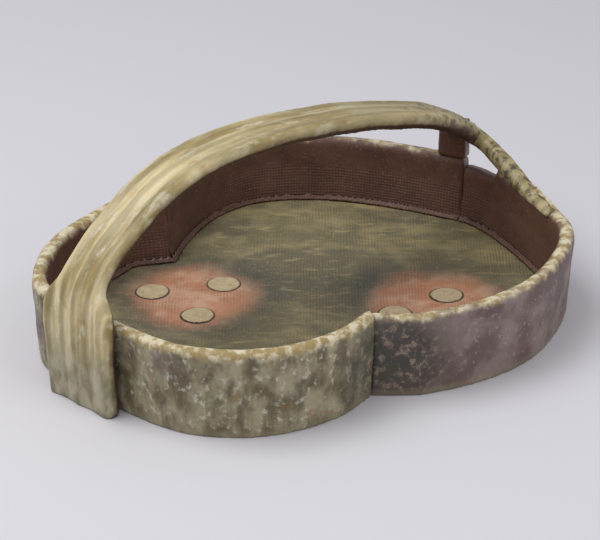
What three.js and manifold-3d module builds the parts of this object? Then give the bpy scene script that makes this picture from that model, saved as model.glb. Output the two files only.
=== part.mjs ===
// A slab-built stoneware serving dish with a four-lobed plan and a strap handle that arches
// over it from the front left corner to the back right wall. Millimetres, +Z up, the dish
// stands on z = 0, +X to the right and +Y away from the viewer.
import * as THREE from 'three';
import { mergeVertices } from 'three/addons/utils/BufferGeometryUtils.js';
import Module from 'manifold-3d';

const wasm = await Module();
wasm.setup();

// Driving sizes
const WALL_THICKNESS = 7.5;
const WALL_LEAN = 3; // how far the rim stands out past the foot of the wall
const FLOOR_THICKNESS = 8;
const FRONT_RIM_HEIGHT = 48;
const LEFT_RIM_HEIGHT = 47;
const BACK_RIM_HEIGHT = 44.5;
const RIGHT_RIM_HEIGHT = 46;
const SILL_HEIGHT = 40; // the wall under the small window beside the post
const RIM_ROUNDING = 3.2;
const STRAP_THICKNESS = 9;
const STRAP_WIDTH = 28;
const STRAP_FOOT_WIDTH = 46;
const STRAP_OFFSET = 4; // how far the strap's middle lies to the right of the dish's diagonal
const STRAP_END_THICKNESS = 4; // where the strap thins out on the right rim
const STRAP_EDGE = 2.4; // rounding of the strap's long edges
const STRAP_GROOVE = 1.3; // depth of the two grooves along the top of the strap
const POST_WIDTH = 16;
const COIL_SIZE = 3.5; // leg of the clay fillet pressed into the floor corner
const WAD_DIAMETER = 17.5;
const WAD_THICKNESS = 0.8;
const GAP = 0.3; // clearance between neighbouring pieces

// Steps along a swept piece, and points round a wad
const STEP = 5;
const WAD_SIDES = 28;

// Outer outline of the walls on the table, one list of points for each strip of clay, all
// running counterclockwise from the front notch. Each strip starts where the last one ends.
const RIGHT_OUTLINE = [
  [35, -108.5], [47, -108.5], [58, -108], [76, -101.5], [96, -90], [118, -69], [130, -47],
  [138, -25], [141, -8], [139.5, 5], [133.5, 22.5], [121.2, 51.5], [111.7, 69.4],
  [101, 84], [92.5, 90.5],
];
const BACK_OUTLINE = [
  [92.5, 90.5], [65.5, 104], [38.5, 114.5], [14, 120.3], [-11, 119.8], [-31.5, 114],
  [-47.5, 102], [-60, 85.5], [-69, 66], [-74.5, 49], [-77, 37],
];
const LEFT_OUTLINE = [
  [-77, 37], [-96, 31.5], [-109, 14], [-123, -7], [-131.5, -27], [-135.5, -50],
  [-134, -72], [-126, -87], [-103.8, -109.8],
];
const FRONT_OUTLINE = [
  [-103.8, -109.8], [-90.5, -123], [-84, -128.6], [-72, -139], [-56, -148], [-31, -152],
  [-6, -146.5], [18, -131], [35, -108.5],
];

// The strap's arch stands on the diagonal from the front left to the back right: distance
// along that diagonal from the middle of the dish, and height of the strap's top surface.
const STRAP_ARCH = [
  [-163, 0], [-165, 28], [-164.5, 54], [-161, 67], [-153, 77.5], [-144, 85.5], [-133, 93],
  [-116, 103.2], [-97, 110], [-74, 113.8], [-45, 113.8], [-20, 111.8], [3, 108.2],
  [31, 103.3], [60, 96], [86, 88],
];

// Past the arch the strap turns onto the wall and runs down it to the right rim: its outer
// and its inner edge, station by station.
const STRAP_TAIL = [
  [[64, 78.5, 83], [83, 57.5, 82]],
  [[75, 89.5, 75.5], [90, 66.5, 76]],
  [[84.5, 96.5, 69], [95, 72.5, 70.5]],
  [[95, 92, 65], [98.5, 75.3, 65.5]],
  [[106, 80, 61], [99.8, 74.8, 61.5]],
  [[115.5, 66.6, 56], [107.8, 62, 56.5]],
  [[122.5, 53.4, 51.5], [114.6, 49.5, 52]],
  [[128, 41, 48], [119.8, 37.5, 48.5]],
  [[133, 29, 46.4], [124.8, 25.5, 46.6]],
  [[137.5, 16, 45.7], [129.5, 13.5, 45.7]],
];

// Centres of the wads that kept other pots off the floor of this one
const WAD_PLACES = [[-42, 2], [-80, -7], [-55, -35], [77, -11], [49, -33], [82, -46]];

const CREAM_GLAZE = 0xc9bb8c;
const OLIVE_GLAZE = 0x8b8563;
const BARE_CLAY = 0x6f5a50;
const DARK_CLAY = 0x4a352c;
const WAD_CLAY = 0xb9a184;

const bowl = new THREE.Group();

/** A closed body through rings of points, capped at both ends, with its faces pointing out. */
function loftRings(rings) {
  const size = rings[0].length;
  const points = rings.flat();
  const faces = [];
  for (let ring = 0; ring + 1 < rings.length; ring += 1) {
    for (let side = 0; side < size; side += 1) {
      const next = (side + 1) % size;
      const here = ring * size;
      const there = here + size;
      faces.push(here + side, here + next, there + next, here + side, there + next, there + side);
    }
  }
  const firstCap = points.length;
  points.push(centreOf(rings[0]), centreOf(rings.at(-1)));
  const lastRing = (rings.length - 1) * size;
  for (let side = 0; side < size; side += 1) {
    const next = (side + 1) % size;
    faces.push(firstCap, next, side, firstCap + 1, lastRing + side, lastRing + next);
  }
  const geometry = new THREE.BufferGeometry().setFromPoints(points);
  geometry.setIndex(signedVolume(points, faces) < 0 ? faces.reverse() : faces);
  return geometry;
}

function centreOf(ring) {
  const sum = new THREE.Vector3();
  ring.forEach((point) => sum.add(point));
  return sum.divideScalar(ring.length);
}

function signedVolume(points, faces) {
  let volume = 0;
  for (let first = 0; first < faces.length; first += 3) {
    const [a, b, c] = [0, 1, 2].map((corner) => points[faces[first + corner]]);
    volume += a.dot(new THREE.Vector3().crossVectors(b, c)) / 6;
  }
  return volume;
}

/** Points and outward directions along a strip's outline, mitred to its neighbours' ends. */
function outlineStations(outline, before, after) {
  const curve = new THREE.CatmullRomCurve3(
    outline.map(([x, y]) => new THREE.Vector3(x, y, 0)), false, 'centripetal',
  );
  const count = Math.round(curve.getLength() / STEP);
  const stations = [];
  for (let step = 0; step <= count; step += 1) {
    const along = curve.getTangentAt(step / count);
    stations.push({
      point: curve.getPointAt(step / count),
      along,
      out: new THREE.Vector3(along.y, -along.x, 0),
      share: step / count,
    });
  }
  mitre(stations[0], endDirection(before, true), 1);
  mitre(stations[count], endDirection(after, false), -1);
  return stations;
}

/** Direction of a neighbouring outline where it meets this one. */
function endDirection(outline, last) {
  const [from, to] = last ? outline.slice(-2) : outline.slice(0, 2);
  return new THREE.Vector3(to[0] - from[0], to[1] - from[1], 0).normalize();
}

/** Turns an end station into the plane halfway between two strips, half a gap short of it. */
function mitre(station, neighbour, inward) {
  const facing = new THREE.Vector3(neighbour.y, -neighbour.x, 0);
  const bisector = station.out.clone().add(facing).normalize();
  station.point.addScaledVector(station.along, (inward * GAP) / 2 / bisector.dot(station.out));
  station.out = bisector.divideScalar(bisector.dot(station.out));
}

/** A ring of a strip's cross-section: pairs of distance in from the outline, and height. */
function sectionRing(station, pairs) {
  return pairs.map(([inward, height]) => station.point.clone()
    .addScaledVector(station.out, -inward).setZ(height));
}

/** Cross-section of a wall with a rounded rim, leaning out towards the top. */
function wallSection(height) {
  const shoulder = height - RIM_ROUNDING;
  const lean = (level) => (-WALL_LEAN * level) / height;
  const round = RIM_ROUNDING * 0.3;
  return [
    [0, 0],
    [lean(shoulder), shoulder],
    [lean(height) + round, height - round],
    [lean(height) + WALL_THICKNESS / 2, height],
    [lean(height) + WALL_THICKNESS - round, height - round],
    [lean(shoulder) + WALL_THICKNESS, shoulder],
    [WALL_THICKNESS, 0],
  ];
}

/** Cross-section of the clay fillet pressed into the corner of floor and wall. */
function coilSection() {
  const inner = WALL_THICKNESS + GAP;
  const low = FLOOR_THICKNESS + GAP;
  return [
    [inner, low],
    [inner, low + COIL_SIZE],
    [inner + COIL_SIZE * 0.35, low + COIL_SIZE * 0.35],
    [inner + COIL_SIZE, low],
  ];
}

/** The strap's rings, swollen by a clearance where another piece is cut to fit it. */
function strapRings(clearance) {
  const back = strapEdge(0);
  const front = strapEdge(1);
  const count = Math.round((back.getLength() + front.getLength()) / 2 / STEP);
  const rings = [];
  for (let step = 0; step <= count; step += 1) {
    const share = step / count;
    const middle = back.getPoint(share).add(front.getPoint(share)).divideScalar(2);
    const across = front.getPoint(share).sub(back.getPoint(share));
    const half = across.length() / 2 + clearance;
    across.normalize();
    const along = back.getTangent(share).add(front.getTangent(share)).normalize();
    const under = new THREE.Vector3().crossVectors(along, across).normalize();
    const thickness = THREE.MathUtils.lerp(
      STRAP_THICKNESS, STRAP_END_THICKNESS, THREE.MathUtils.smoothstep(share, 0.85, 1),
    );
    rings.push(strapSection(half, thickness, clearance).map(([side, depth]) => middle.clone()
      .addScaledVector(across, side).addScaledVector(under, depth)));
  }
  rings[0].forEach((point) => point.setZ(-clearance));
  return rings;
}

/** The strap's outer edge for side 0, or its inner edge for side 1, over arch and tail. */
function strapEdge(side) {
  const footTop = RIGHT_RIM_HEIGHT;
  const arch = STRAP_ARCH.map(([along, height], place) => {
    const rise = THREE.MathUtils.smoothstep(height, footTop, footTop + STRAP_WIDTH);
    const width = THREE.MathUtils.lerp(STRAP_FOOT_WIDTH, STRAP_WIDTH, place > 2 ? rise : 0);
    const beside = STRAP_OFFSET + (side - 0.5) * width;
    return new THREE.Vector3(along + beside, along - beside, height * Math.SQRT2)
      .divideScalar(Math.SQRT2);
  });
  const tail = STRAP_TAIL.map((edges) => new THREE.Vector3(...edges[side]));
  return new THREE.CatmullRomCurve3([...arch, ...tail], false, 'centripetal');
}

/** Cross-section of the strap: rounded edges, and two grooves along its top. */
function strapSection(half, thickness, clearance) {
  const top = -clearance;
  const bottom = thickness + clearance;
  const groove = clearance ? 0 : STRAP_GROOVE;
  return [
    [-half, bottom - STRAP_EDGE],
    [-half, top + STRAP_EDGE],
    [-half + STRAP_EDGE, top],
    [-half / 3, top + groove],
    [0, top],
    [half / 3, top + groove],
    [half - STRAP_EDGE, top],
    [half, top + STRAP_EDGE],
    [half, bottom - STRAP_EDGE],
    [half - STRAP_EDGE, bottom],
    [0, bottom],
    [-half + STRAP_EDGE, bottom],
  ];
}

function toSolid(geometry) {
  const bare = geometry.clone();
  bare.deleteAttribute('normal');
  bare.deleteAttribute('uv');
  const merged = mergeVertices(bare);
  return new wasm.Manifold(new wasm.Mesh({
    numProp: 3,
    vertProperties: new Float32Array(merged.attributes.position.array),
    triVerts: new Uint32Array(merged.index.array),
  }));
}

function toGeometry(solid) {
  const mesh = solid.getMesh();
  const geometry = new THREE.BufferGeometry();
  geometry.setAttribute('position', new THREE.BufferAttribute(mesh.vertProperties, 3));
  geometry.setIndex(new THREE.BufferAttribute(mesh.triVerts, 1));
  return geometry;
}

function cutBy(geometry, cutter) {
  return toGeometry(toSolid(geometry).subtract(toSolid(cutter)));
}

function addPiece(name, geometry, colour, roughness) {
  geometry.computeVertexNormals();
  const material = new THREE.MeshStandardMaterial({ color: colour, roughness, metalness: 0 });
  const piece = new THREE.Mesh(geometry, material);
  piece.name = name;
  bowl.add(piece);
}

// The handle: one strap of clay, from the table at the front left to the rim at the right
const strap = loftRings(strapRings(0));
const strapClearance = loftRings(strapRings(GAP));
addPiece('handle_strap', strap, CREAM_GLAZE, 0.45);

// The four wall strips, cut to fit the strap that is luted over them
const strips = [
  { name: 'right', outline: RIGHT_OUTLINE, height: rightRim, colour: BARE_CLAY },
  { name: 'back', outline: BACK_OUTLINE, height: () => BACK_RIM_HEIGHT, colour: DARK_CLAY },
  { name: 'left', outline: LEFT_OUTLINE, height: () => LEFT_RIM_HEIGHT, colour: OLIVE_GLAZE },
  { name: 'front', outline: FRONT_OUTLINE, height: () => FRONT_RIM_HEIGHT, colour: OLIVE_GLAZE },
];

/** Height of the right strip: up into the strap's lower end, then down to the window's sill. */
function rightRim({ point }) {
  const [, strapEnd] = STRAP_TAIL.at(-1);
  const [windowEnd] = STRAP_TAIL.at(-5);
  if (point.y <= strapEnd[1]) return RIGHT_RIM_HEIGHT;
  if (point.y > windowEnd[1] + STEP) return SILL_HEIGHT;
  const share = (point.y - strapEnd[1]) / (windowEnd[1] - strapEnd[1]);
  return THREE.MathUtils.lerp(RIGHT_RIM_HEIGHT, windowEnd[2] - STRAP_THICKNESS / 2, Math.min(share, 1));
}

const floorOutline = new THREE.Shape();
const floorPoints = [];
strips.forEach((strip, place) => {
  const before = strips.at(place - 1).outline;
  const after = strips[(place + 1) % strips.length].outline;
  const stations = outlineStations(strip.outline, before, after);
  const wall = loftRings(stations.map((station) => sectionRing(station, wallSection(strip.height(station)))));
  addPiece(`${strip.name}_wall`, cutBy(wall, strapClearance), strip.colour, 0.6);
  const coil = loftRings(stations.map((station) => sectionRing(station, coilSection())));
  addPiece(`${strip.name}_corner_coil`, coil, DARK_CLAY, 0.7);
  stations.forEach((station) => {
    const [edge] = sectionRing(station, [[WALL_THICKNESS + GAP, 0]]);
    floorPoints.push(new THREE.Vector2(edge.x, edge.y));
  });
});
floorOutline.setFromPoints(floorPoints);
addPiece(
  'floor_slab',
  new THREE.ExtrudeGeometry(floorOutline, { depth: FLOOR_THICKNESS, bevelEnabled: false }),
  OLIVE_GLAZE,
  0.6,
);

// The post between the back wall's rim and the underside of the strap
const [postX, postY] = BACK_OUTLINE[0];
const towards = endDirection(BACK_OUTLINE, false);
const outwards = new THREE.Vector3(towards.y, -towards.x, 0);
const postRings = [BACK_RIM_HEIGHT + GAP, BACK_RIM_HEIGHT + 22].map((height) => [
  [0, GAP], [POST_WIDTH, GAP], [POST_WIDTH, WALL_THICKNESS], [0, WALL_THICKNESS],
].map(([along, inward]) => new THREE.Vector3(postX, postY, height)
  .addScaledVector(towards, along).addScaledVector(outwards, WALL_LEAN - inward)));
addPiece('handle_post', cutBy(loftRings(postRings), strapClearance), DARK_CLAY, 0.7);

// The wads that stayed stuck to the floor
WAD_PLACES.forEach(([x, y], place) => {
  const wad = new THREE.CylinderGeometry(
    WAD_DIAMETER / 2 - WAD_THICKNESS / 2, WAD_DIAMETER / 2, WAD_THICKNESS, WAD_SIDES,
  );
  wad.rotateX(Math.PI / 2);
  wad.translate(x, y, FLOOR_THICKNESS + GAP + WAD_THICKNESS / 2);
  addPiece(`wad_${place + 1}`, wad, WAD_CLAY, 0.8);
});

export default bowl;
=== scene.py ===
"""A wood-fired stoneware dish with a strap handle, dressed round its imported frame."""
import math

import bmesh
import bpy
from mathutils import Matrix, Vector


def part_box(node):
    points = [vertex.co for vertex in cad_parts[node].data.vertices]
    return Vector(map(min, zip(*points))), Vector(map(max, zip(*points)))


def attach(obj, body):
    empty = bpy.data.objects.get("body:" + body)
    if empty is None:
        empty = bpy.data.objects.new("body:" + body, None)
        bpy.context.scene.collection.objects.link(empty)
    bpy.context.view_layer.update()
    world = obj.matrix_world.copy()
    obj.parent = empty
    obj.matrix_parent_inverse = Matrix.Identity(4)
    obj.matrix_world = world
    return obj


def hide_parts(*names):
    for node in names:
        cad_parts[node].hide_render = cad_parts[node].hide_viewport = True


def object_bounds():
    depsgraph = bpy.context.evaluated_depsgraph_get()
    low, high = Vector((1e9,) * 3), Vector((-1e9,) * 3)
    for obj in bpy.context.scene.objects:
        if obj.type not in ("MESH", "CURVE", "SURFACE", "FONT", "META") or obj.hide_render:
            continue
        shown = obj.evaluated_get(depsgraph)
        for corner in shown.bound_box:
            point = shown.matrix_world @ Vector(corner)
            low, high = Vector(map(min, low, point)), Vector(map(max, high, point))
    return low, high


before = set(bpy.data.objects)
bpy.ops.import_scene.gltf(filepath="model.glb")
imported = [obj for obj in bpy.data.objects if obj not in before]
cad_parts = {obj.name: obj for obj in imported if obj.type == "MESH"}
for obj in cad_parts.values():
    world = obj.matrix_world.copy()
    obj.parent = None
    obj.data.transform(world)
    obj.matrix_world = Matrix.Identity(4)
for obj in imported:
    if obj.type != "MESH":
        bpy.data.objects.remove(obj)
cad_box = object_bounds()
MM = 0.001

# The camera: a long lens from 1.6 m away, 26 degrees above the table, looking along +Y.
# The dish's origin lies a little right of and below the middle of the picture.
PICTURE_WIDTH = 600
PICTURE_HEIGHT = 540
FOCAL_PIXELS = 2950
ORIGIN_PIXEL = (302, 300)
CAMERA_DISTANCE = 1586 * MM
CAMERA_ELEVATION = math.radians(26)

forward = Vector((0, math.cos(CAMERA_ELEVATION), -math.sin(CAMERA_ELEVATION)))
upward = Vector((0, math.sin(CAMERA_ELEVATION), math.cos(CAMERA_ELEVATION)))
sideways = Vector((1, 0, 0))
to_origin = forward + sideways * ((ORIGIN_PIXEL[0] - PICTURE_WIDTH / 2) / FOCAL_PIXELS)
to_origin -= upward * ((ORIGIN_PIXEL[1] - PICTURE_HEIGHT / 2) / FOCAL_PIXELS)
camera = bpy.data.objects.new("camera", bpy.data.cameras.new("camera"))
camera.data.sensor_width = 36
camera.data.lens = 36 * FOCAL_PIXELS / PICTURE_WIDTH
camera.location = to_origin * -CAMERA_DISTANCE
camera.rotation_euler = (math.pi / 2 - CAMERA_ELEVATION, 0, 0)
bpy.context.scene.collection.objects.link(camera)
bpy.context.scene.camera = camera
bpy.context.scene.view_settings.view_transform = "Standard"


# The clay body: slabs of coarse stoneware luted together while soft and fired as one. Each
# slab starts from its solid in the frame, swells until it meets its neighbours, and gets
# its edges rubbed round and its faces uneven from the hand and the kiln.
MEET = 0.4 * MM
GRAIN = 1.25 * MM


def linear(hex_colour):
    """An sRGB hex colour as linear red, green, blue and alpha."""
    channels = [int(hex_colour[place:place + 2], 16) / 255 for place in (1, 3, 5)]
    return [c / 12.92 if c <= 0.04045 else ((c + 0.055) / 1.055) ** 2.4 for c in channels] + [1]


def unevenness(name, size, depth=1):
    """A cloudy height field, size metres across, for the Displace modifier."""
    field = bpy.data.textures.new(name, "CLOUDS")
    field.noise_scale = size
    field.noise_depth = depth
    return field


HAND_MARKS = unevenness("hand_marks", 22 * MM)
KILN_GRAIN = unevenness("kiln_grain", 3.2 * MM, 2)


def clay_piece(name, node, material, grain=GRAIN, rub=6, waver=1.1 * MM,
               pits=0.35 * MM, meet=MEET):
    """One slab of clay over its solid: remeshed fine, rubbed round and made uneven, flat below."""
    shape = bmesh.new()
    shape.from_mesh(bpy.data.objects[node].data)
    bmesh.ops.remove_doubles(shape, verts=shape.verts, dist=0.01 * MM)
    mesh = bpy.data.meshes.new(name)
    shape.to_mesh(mesh)
    shape.free()
    piece = bpy.data.objects.new(name, mesh)
    bpy.context.scene.collection.objects.link(piece)
    remesh = piece.modifiers.new("slab", "REMESH")
    remesh.mode = "VOXEL"
    remesh.voxel_size = grain
    rubbed = piece.modifiers.new("rubbed", "SMOOTH")
    rubbed.factor = 0.5
    rubbed.iterations = rub
    swell = piece.modifiers.new("swell", "DISPLACE")
    swell.strength = meet
    swell.mid_level = 0
    for label, field, strength in (("hand", HAND_MARKS, waver), ("pits", KILN_GRAIN, pits)):
        uneven = piece.modifiers.new(label, "DISPLACE")
        uneven.texture = field
        uneven.texture_coords = "LOCAL"
        uneven.strength = strength
        uneven.mid_level = 0.55
    finished = piece.evaluated_get(bpy.context.evaluated_depsgraph_get())
    piece.data = bpy.data.meshes.new_from_object(finished)
    piece.modifiers.clear()
    for vertex in piece.data.vertices:
        for axis in range(3):
            vertex.co[axis] = min(max(vertex.co[axis], cad_box[0][axis]), cad_box[1][axis])
    piece.data.name = name
    piece.data.polygons.foreach_set("use_smooth", [True] * len(piece.data.polygons))
    piece.data.materials.clear()
    piece.data.materials.append(material)
    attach(piece, "root")
    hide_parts(node)
    return piece


def add(tree, kind, links=None, **settings):
    """A node with its settings, and its inputs as values or as sockets to link."""
    node = tree.nodes.new(kind)
    for label, value in settings.items():
        setattr(node, label, value)
    for socket, value in (links or {}).items():
        if isinstance(value, bpy.types.NodeSocket):
            tree.links.new(value, node.inputs[socket])
        else:
            node.inputs[socket].default_value = value
    return node


def new_material(name):
    """An empty node material, its tree, and the shader at its end."""
    material = bpy.data.materials.new(name)
    material.use_nodes = True
    tree = material.node_tree
    return material, tree, tree.nodes["Principled BSDF"]


def noise(tree, place, pitch, detail=3, stretch=(1, 1, 1), turn=0, rough=0.55):
    """Noise of the given pitch in metres, drawn out along axes turned about Z."""
    mapping = add(tree, "ShaderNodeMapping", {
        "Vector": place, "Rotation": (0, 0, turn), "Scale": stretch,
    }, vector_type="TEXTURE")
    return add(tree, "ShaderNodeTexNoise", {
        "Vector": mapping.outputs["Vector"], "Scale": 1 / pitch, "Detail": detail,
        "Roughness": rough,
    }).outputs["Fac"]


def ease(tree, value, low, high):
    """0 below low, 1 above high, and smooth between them."""
    return add(tree, "ShaderNodeMapRange", {
        "Value": value, "From Min": low, "From Max": high,
    }, interpolation_type="SMOOTHSTEP").outputs["Result"]


def mix(tree, share, first, second):
    """The first colour turning into the second as share goes from 0 to 1."""
    return add(tree, "ShaderNodeMix", {0: share, 6: first, 7: second}, data_type="RGBA").outputs[2]


def combine(tree, operation, first, second=0.0):
    """A math node on two numbers or sockets."""
    return add(tree, "ShaderNodeMath", {0: first, 1: second}, operation=operation).outputs[0]


CLOTH_PITCH = 1.7 * MM


def opposite(tree, share):
    """1 where the share is 0, and 0 where it is 1."""
    return combine(tree, "SUBTRACT", 1.0, share)


def stain(tree, base, mask, share, hex_colour):
    """The base with another colour over it, as strong as share where the mask is 1."""
    return mix(tree, combine(tree, "MULTIPLY", mask, share), base, linear(hex_colour))


def cloth_marks(tree, place):
    """Crossed ridges left by the cloth over the mould: an open weave, drawn a little coarse."""
    pitch = CLOTH_PITCH
    threads = [
        add(tree, "ShaderNodeTexWave", {
            "Vector": place, "Scale": 2 * math.pi / (20 * pitch), "Distortion": 3.5,
            "Detail": 3, "Detail Scale": 0.4,
        }, wave_type="BANDS", bands_direction=direction).outputs["Fac"]
        for direction in ("X", "Y")
    ]
    return combine(tree, "MULTIPLY", *threads)


# The floor slab: rolled over a cloth, so it carries the weave, under natural ash glaze. Two
# flashed patches stayed bare where smaller pots stood on their wads.
FLASHED = [((-59 * MM, -12 * MM), 40 * MM), ((69 * MM, -24 * MM), 44 * MM)]
WADS = sorted(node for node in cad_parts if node.startswith("wad_"))


def distance_to(tree, split, x, y, squeeze=1):
    """Distance in plan from a point, with the Y axis squeezed."""
    across = combine(tree, "SUBTRACT", split.outputs["X"], x)
    along = combine(tree, "MULTIPLY", combine(tree, "SUBTRACT", split.outputs["Y"], y), squeeze)
    squares = [combine(tree, "MULTIPLY", side, side) for side in (across, along)]
    return combine(tree, "SQRT", combine(tree, "ADD", *squares))


def glazed_floor():
    """Stoneware under thin ash glaze: satin, olive to slate, with salmon flashes."""
    material, tree, shader = new_material("ash_glazed_floor")
    place = add(tree, "ShaderNodeTexCoord").outputs["Object"]
    split = add(tree, "ShaderNodeSeparateXYZ", {0: place})
    colour = mix(tree, ease(tree, noise(tree, place, 30 * MM, 5, (1.6, 1, 1)), 0.4, 0.6),
                 linear("#766e50"), linear("#9a8d66"))
    middle = opposite(tree, ease(
        tree, distance_to(tree, split, 8 * MM, 12 * MM, 1.5), 20 * MM, 80 * MM))
    slate = ease(tree, combine(tree, "ADD", noise(tree, place, 28 * MM, 5, (1.5, 1, 1)),
                               combine(tree, "MULTIPLY", middle, 0.2)), 0.5, 0.66)
    colour = stain(tree, colour, slate, 0.65, "#4d4b40")
    streaks = ease(tree, noise(tree, place, 4.5 * MM, 4, (3, 1, 1)), 0.54, 0.7)
    colour = stain(tree, colour, streaks, 0.5, "#b3a372")
    wobble = combine(tree, "MULTIPLY", noise(tree, place, 22 * MM, 5), 24 * MM)
    for (x, y), reach in FLASHED:
        away = combine(tree, "ADD", distance_to(tree, split, x, y, 0.92), wobble)
        halo = opposite(tree, ease(tree, away, reach + 4 * MM, reach + 34 * MM))
        colour = stain(tree, colour, halo, 0.6, "#3f3d3a")
        flash = opposite(tree, ease(tree, away, reach - 8 * MM, reach + 14 * MM))
        salmon = mix(tree, ease(tree, noise(tree, place, 12 * MM, 4), 0.4, 0.65),
                     linear("#bc8260"), linear("#cda184"))
        colour = mix(tree, combine(tree, "MULTIPLY", flash, 0.9), colour, salmon)
    specks = ease(tree, noise(tree, place, 1.4 * MM, 2), 0.6, 0.72)
    colour = stain(tree, colour, specks, 0.45, "#c2b58a")
    cloth = cloth_marks(tree, place)
    worn = ease(tree, noise(tree, place, 18 * MM, 4), 0.35, 0.65)
    cloth = combine(tree, "MULTIPLY", cloth, worn)
    colour = stain(tree, colour, cloth, 0.3, "#38362c")
    # Painted shadow: a dark line round each wad's edge, where the raised disc shades the floor.
    for wad in WADS:
        low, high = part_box(wad)
        away = distance_to(tree, split, (low[0] + high[0]) / 2, (low[1] + high[1]) / 2)
        wad_shadow_line = opposite(tree, ease(tree, away, 9 * MM, 9.9 * MM))
        colour = stain(tree, colour, wad_shadow_line, 0.85, "#2a2622")
    bump = add(tree, "ShaderNodeBump", {"Height": cloth, "Strength": 0.7, "Distance": 0.7 * MM})
    tree.links.new(colour, shader.inputs["Base Color"])
    tree.links.new(bump.outputs["Normal"], shader.inputs["Normal"])
    shader.inputs["Roughness"].default_value = 0.6
    shader.inputs["IOR"].default_value = 1.5
    return material


clay_piece("floor", "floor_slab", glazed_floor(), 1.8 * MM, 2, 0.8 * MM, 0.25 * MM)


# The four wall strips: each stands round one lobe and was luted to its neighbours at the
# notches. Ash fell on the outside at the front left and on the rims. The right lobe and
# the inside stayed bare.
WALL_RADIUS = 115 * MM  # how far from the middle the walls stand, for the cloth marks
FRONT_NOTCH = (46 * MM, -110 * MM, 24 * MM)


def fired_wall(name, glazed, rim_level=48 * MM):
    """Bare red-brown clay inside, and outside olive ash glaze or bare clay by its share."""
    material, tree, shader = new_material(name)
    place = add(tree, "ShaderNodeTexCoord").outputs["Object"]
    split = add(tree, "ShaderNodeSeparateXYZ", {0: place})
    normal = add(tree, "ShaderNodeNewGeometry").outputs["Normal"]
    level = split.outputs["Z"]
    facing = add(tree, "ShaderNodeVectorMath", {0: normal, 1: place}, operation="DOT_PRODUCT")
    outside = ease(tree, facing.outputs["Value"], -4 * MM, 12 * MM)
    inside = mix(tree, noise(tree, place, 14 * MM, 5), linear("#37261d"), linear("#7a5341"))
    grain = ease(tree, noise(tree, place, 1.5 * MM, 2), 0.6, 0.72)
    inside = stain(tree, inside, grain, 0.35, "#a08263")
    bare = mix(tree, ease(tree, noise(tree, place, 24 * MM, 5), 0.4, 0.62),
               linear("#6a5651"), linear("#8f7d78"))
    pale = ease(tree, noise(tree, place, 2.2 * MM, 3), 0.6, 0.7)
    bare = stain(tree, bare, pale, 0.55, "#b7a89c")
    runs = noise(tree, place, 9 * MM, 5, (1, 1, 1.7))
    glaze = mix(tree, ease(tree, runs, 0.34, 0.66), linear("#655c42"), linear("#a39a7c"))
    white = ease(tree, noise(tree, place, 4.5 * MM, 5, (1, 1, 1.2), 0, 0.7), 0.53, 0.68)
    glaze = stain(tree, glaze, white, 0.75, "#cfccba")
    dark = ease(tree, noise(tree, place, 14 * MM, 5, (1, 1, 1.5), 0, 0.7), 0.55, 0.68)
    glaze = stain(tree, glaze, dark, 0.6, "#3f4038")
    rust = ease(tree, noise(tree, place, 9 * MM, 3), 0.6, 0.7)
    glaze = stain(tree, glaze, rust, 0.6, "#8f6437")
    patches = ease(tree, noise(tree, place, 45 * MM, 3), 0.62 - glazed, 0.78 - glazed)
    outer = mix(tree, patches, bare, glaze)
    # Painted shade: a dark patch round the front notch, where the crease falls into shadow, with
    # pale blisters scattered through it.
    notch = add(tree, "ShaderNodeVectorMath", {0: place, 1: FRONT_NOTCH},
                operation="DISTANCE")
    notch_shade = opposite(tree, ease(tree, notch.outputs["Value"], 14 * MM, 42 * MM))
    outer = stain(tree, outer, notch_shade, 0.75, "#33352b")
    blister = ease(tree, noise(tree, place, 4 * MM, 5, (1, 1, 1), 0, 0.7), 0.5, 0.64)
    blister = combine(tree, "MULTIPLY", blister, combine(tree, "MULTIPLY", notch_shade, 0.6))
    outer = mix(tree, blister, outer, linear("#a8937f"))
    crust = opposite(tree, ease(tree, level, 1 * MM, 6 * MM))
    outer = stain(tree, outer, crust, 0.45, "#9a8f72")
    colour = mix(tree, outside, inside, outer)
    drip = combine(tree, "MULTIPLY", noise(tree, place, 9 * MM, 6, (1, 1, 2), 0, 0.65), 11 * MM)
    rim = ease(tree, combine(tree, "ADD", level, drip), rim_level, rim_level + 4 * MM)
    cream = mix(tree, ease(tree, noise(tree, place, 5 * MM, 3), 0.4, 0.62),
                linear("#a28d5c"), linear("#ddd2b2"))
    colour = mix(tree, rim, colour, cream)
    pits = noise(tree, place, 1.3 * MM, 3)
    turn = add(tree, "ShaderNodeMath", {0: split.outputs["Y"], 1: split.outputs["X"]},
               operation="ARCTAN2").outputs[0]
    round_wall = add(tree, "ShaderNodeCombineXYZ", {
        0: combine(tree, "MULTIPLY", turn, WALL_RADIUS), 1: level,
    }).outputs[0]
    lower = opposite(tree, ease(tree, level, 26 * MM, 31 * MM))
    pressed = combine(tree, "MULTIPLY", opposite(tree, outside), lower)
    weave = combine(tree, "MULTIPLY", cloth_marks(tree, round_wall), pressed)
    colour = stain(tree, colour, weave, 0.28, "#947b6b")
    bump = add(tree, "ShaderNodeBump", {
        "Height": combine(tree, "ADD", pits, weave), "Strength": 0.6, "Distance": 0.4 * MM,
    })
    tree.links.new(colour, shader.inputs["Base Color"])
    tree.links.new(bump.outputs["Normal"], shader.inputs["Normal"])
    shader.inputs["Roughness"].default_value = 0.55
    shader.inputs["IOR"].default_value = 1.5
    return material


GLAZED_WALL = fired_wall("ash_glazed_wall", 0.4)
BARE_WALL = fired_wall("bare_fired_wall", 0)
clay_piece("front_lobe", "front_wall", GLAZED_WALL)
clay_piece("left_lobe", "left_wall", GLAZED_WALL)
clay_piece("back_lobe", "back_wall", BARE_WALL)
clay_piece("right_lobe", "right_wall", BARE_WALL)


# The corner coils: thin rolls of clay pressed into the corner of floor and wall with a
# fingertip, bare like the wall above them.
for side in ("front", "left", "back", "right"):
    clay_piece(f"{side}_coil", f"{side}_corner_coil", BARE_WALL,
               1 * MM, 3, 0.4 * MM, 0.2 * MM)


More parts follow.
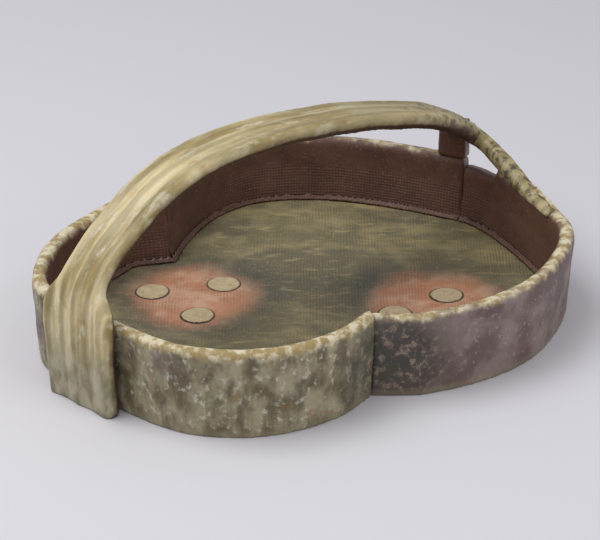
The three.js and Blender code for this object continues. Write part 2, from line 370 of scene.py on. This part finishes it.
# The handle: one strap of clay with two finger grooves drawn along it. The fire's ash
# melted on its top to a cream and olive glaze, and its underside stayed dark.
STRAP_RIDGE_PITCH = 9.3 * MM
STRAP_TOP_FACING = (-0.45, -0.35, 0.82)


def ash_glazed_strap():
    """Pooled natural ash glaze, streaked along the strap."""
    material, tree, shader = new_material("ash_glazed_strap")
    place = add(tree, "ShaderNodeTexCoord").outputs["Object"]
    normal = add(tree, "ShaderNodeNewGeometry").outputs["Normal"]
    up = add(tree, "ShaderNodeVectorMath", {0: normal, 1: STRAP_TOP_FACING},
             operation="DOT_PRODUCT").outputs["Value"]
    along = (9, 1, 6)
    streak = noise(tree, place, 7 * MM, 5, along, math.pi / 4)
    colour = mix(tree, ease(tree, streak, 0.34, 0.62), linear("#9a8854"), linear("#dccb9b"))
    dull = ease(tree, noise(tree, place, 40 * MM, 4, (2, 1, 2), math.pi / 4), 0.5, 0.7)
    colour = stain(tree, colour, dull, 0.45, "#77714f")
    pale = ease(tree, noise(tree, place, 5 * MM, 5, (3, 1, 2.4), math.pi / 4, 0.65), 0.5, 0.7)
    colour = stain(tree, colour, pale, 0.65, "#e6ddc2")
    rust = ease(tree, noise(tree, place, 8 * MM, 4, (2, 1, 2), math.pi / 4), 0.57, 0.72)
    colour = stain(tree, colour, rust, 0.5, "#a3763f")
    # Painted shade: the strap darkens to olive towards its far, upper end.
    far = add(tree, "ShaderNodeVectorMath", {0: place, 1: (1, 1, 0)}, operation="DOT_PRODUCT")
    far_end_shade = ease(tree, far.outputs["Value"], -70 * MM, 70 * MM)
    colour = stain(tree, colour, far_end_shade, 0.45, "#7b6e45")
    across = add(tree, "ShaderNodeVectorMath", {0: place, 1: (0.707, -0.707, 0)},
                 operation="DOT_PRODUCT").outputs["Value"]
    ridges = add(tree, "ShaderNodeMath", {
        0: combine(tree, "MULTIPLY", across, 2 * math.pi / STRAP_RIDGE_PITCH),
    }, operation="COSINE").outputs[0]
    pooled = opposite(tree, ease(tree, ridges, -0.9, 0.2))
    colour = stain(tree, colour, pooled, 0.4, "#6d6138")
    sooty = combine(tree, "MULTIPLY", ease(tree, far.outputs["Value"], 60 * MM, 170 * MM), 0.75)
    black = ease(tree, noise(tree, place, 4 * MM, 4), 0.5, 0.62)
    colour = mix(tree, combine(tree, "MULTIPLY", black, sooty), colour, linear("#2f2c20"))
    level = add(tree, "ShaderNodeSeparateXYZ", {0: place}).outputs["Z"]
    low = opposite(tree, ease(tree, level, 14 * MM, 42 * MM))
    grey = mix(tree, ease(tree, noise(tree, place, 9 * MM, 5, (1, 1, 2)), 0.4, 0.62),
               linear("#6f6749"), linear("#aaa58e"))
    colour = mix(tree, combine(tree, "MULTIPLY", low, 0.8), colour, grey)
    under = mix(tree, noise(tree, place, 9 * MM, 4), linear("#2b1e17"), linear("#5c4030"))
    colour = mix(tree, ease(tree, up, -0.3, 0.05), under, colour)
    pits = noise(tree, place, 1.6 * MM, 3)
    bump = add(tree, "ShaderNodeBump", {"Height": pits, "Strength": 0.5, "Distance": 0.5 * MM})
    tree.links.new(colour, shader.inputs["Base Color"])
    tree.links.new(bump.outputs["Normal"], shader.inputs["Normal"])
    shader.inputs["Roughness"].default_value = 0.42
    shader.inputs["IOR"].default_value = 1.52
    return material


clay_piece("handle", "handle_strap", ash_glazed_strap(),
           1.1 * MM, 3, 0.8 * MM, 0.25 * MM)


# The post: a stub of the back wall left standing to carry the strap's far end.
clay_piece("post", "handle_post", fired_wall("dark_fired_post", 0, 90 * MM), 1 * MM, 3)


# The wads: balls of rough fireclay that kept the pots on the floor from sticking. They
# flattened, and a pale skin of each stayed behind.
def fireclay():
    """Coarse unglazed fireclay: matt, pale, with dark grit."""
    material, tree, shader = new_material("fireclay")
    place = add(tree, "ShaderNodeTexCoord").outputs["Object"]
    colour = mix(tree, noise(tree, place, 4 * MM, 4), linear("#a08a66"), linear("#cdbb98"))
    grit = ease(tree, noise(tree, place, 1.2 * MM, 2), 0.6, 0.7)
    colour = stain(tree, colour, grit, 0.5, "#5a4a38")
    bump = add(tree, "ShaderNodeBump", {
        "Height": noise(tree, place, 1 * MM, 3), "Strength": 0.7, "Distance": 0.4 * MM,
    })
    tree.links.new(colour, shader.inputs["Base Color"])
    tree.links.new(bump.outputs["Normal"], shader.inputs["Normal"])
    shader.inputs["Roughness"].default_value = 0.85
    return material


FIRECLAY = fireclay()
for wad in WADS:
    clay_piece(f"{wad}_skin", wad, FIRECLAY, 0.3 * MM, 2, 1.2 * MM, 0.3 * MM,
               meet=-0.15 * MM)


# The studio: a pale grey sweep under broad soft light from above, a little from the left.
FLOOR_REACH = 4
bpy.ops.mesh.primitive_plane_add(size=FLOOR_REACH)
table = bpy.context.object
table.name = "table"
table.location = (0, 0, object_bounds()[0][2])
sweep, sweep_tree, sweep_shader = new_material("studio_sweep")
depth = add(sweep_tree, "ShaderNodeTexCoord").outputs["Object"]
depth = add(sweep_tree, "ShaderNodeSeparateXYZ", {0: depth}).outputs["Y"]
# The paper is painted a little darker towards the back, as painted shade of the light falling off.
paper_with_painted_shade = mix(sweep_tree, ease(sweep_tree, depth, -0.35, 0.45), linear("#dad9de"), linear("#d2d1d6"))
sweep_tree.links.new(paper_with_painted_shade, sweep_shader.inputs["Base Color"])
sweep_shader.inputs["Roughness"].default_value = 0.9
table.data.materials.append(sweep)

world = bpy.data.worlds.new("studio")
bpy.context.scene.world = world
world.use_nodes = True
world.node_tree.nodes["Background"].inputs["Color"].default_value = linear("#e4e4e8")
world.node_tree.nodes["Background"].inputs["Strength"].default_value = 0.62

for label, place, size, power in (
    ("key", (-0.55, -0.05, 1.2), 0.9, 9.5),
    ("fill", (0.9, -0.9, 1.0), 1.0, 4),
):
    lamp = bpy.data.objects.new(label, bpy.data.lights.new(label, "AREA"))
    lamp.data.size = size
    lamp.data.energy = power
    lamp.location = place
    lamp.rotation_euler = (-Vector(place)).to_track_quat("-Z", "Y").to_euler()
    bpy.context.scene.collection.objects.link(lamp)
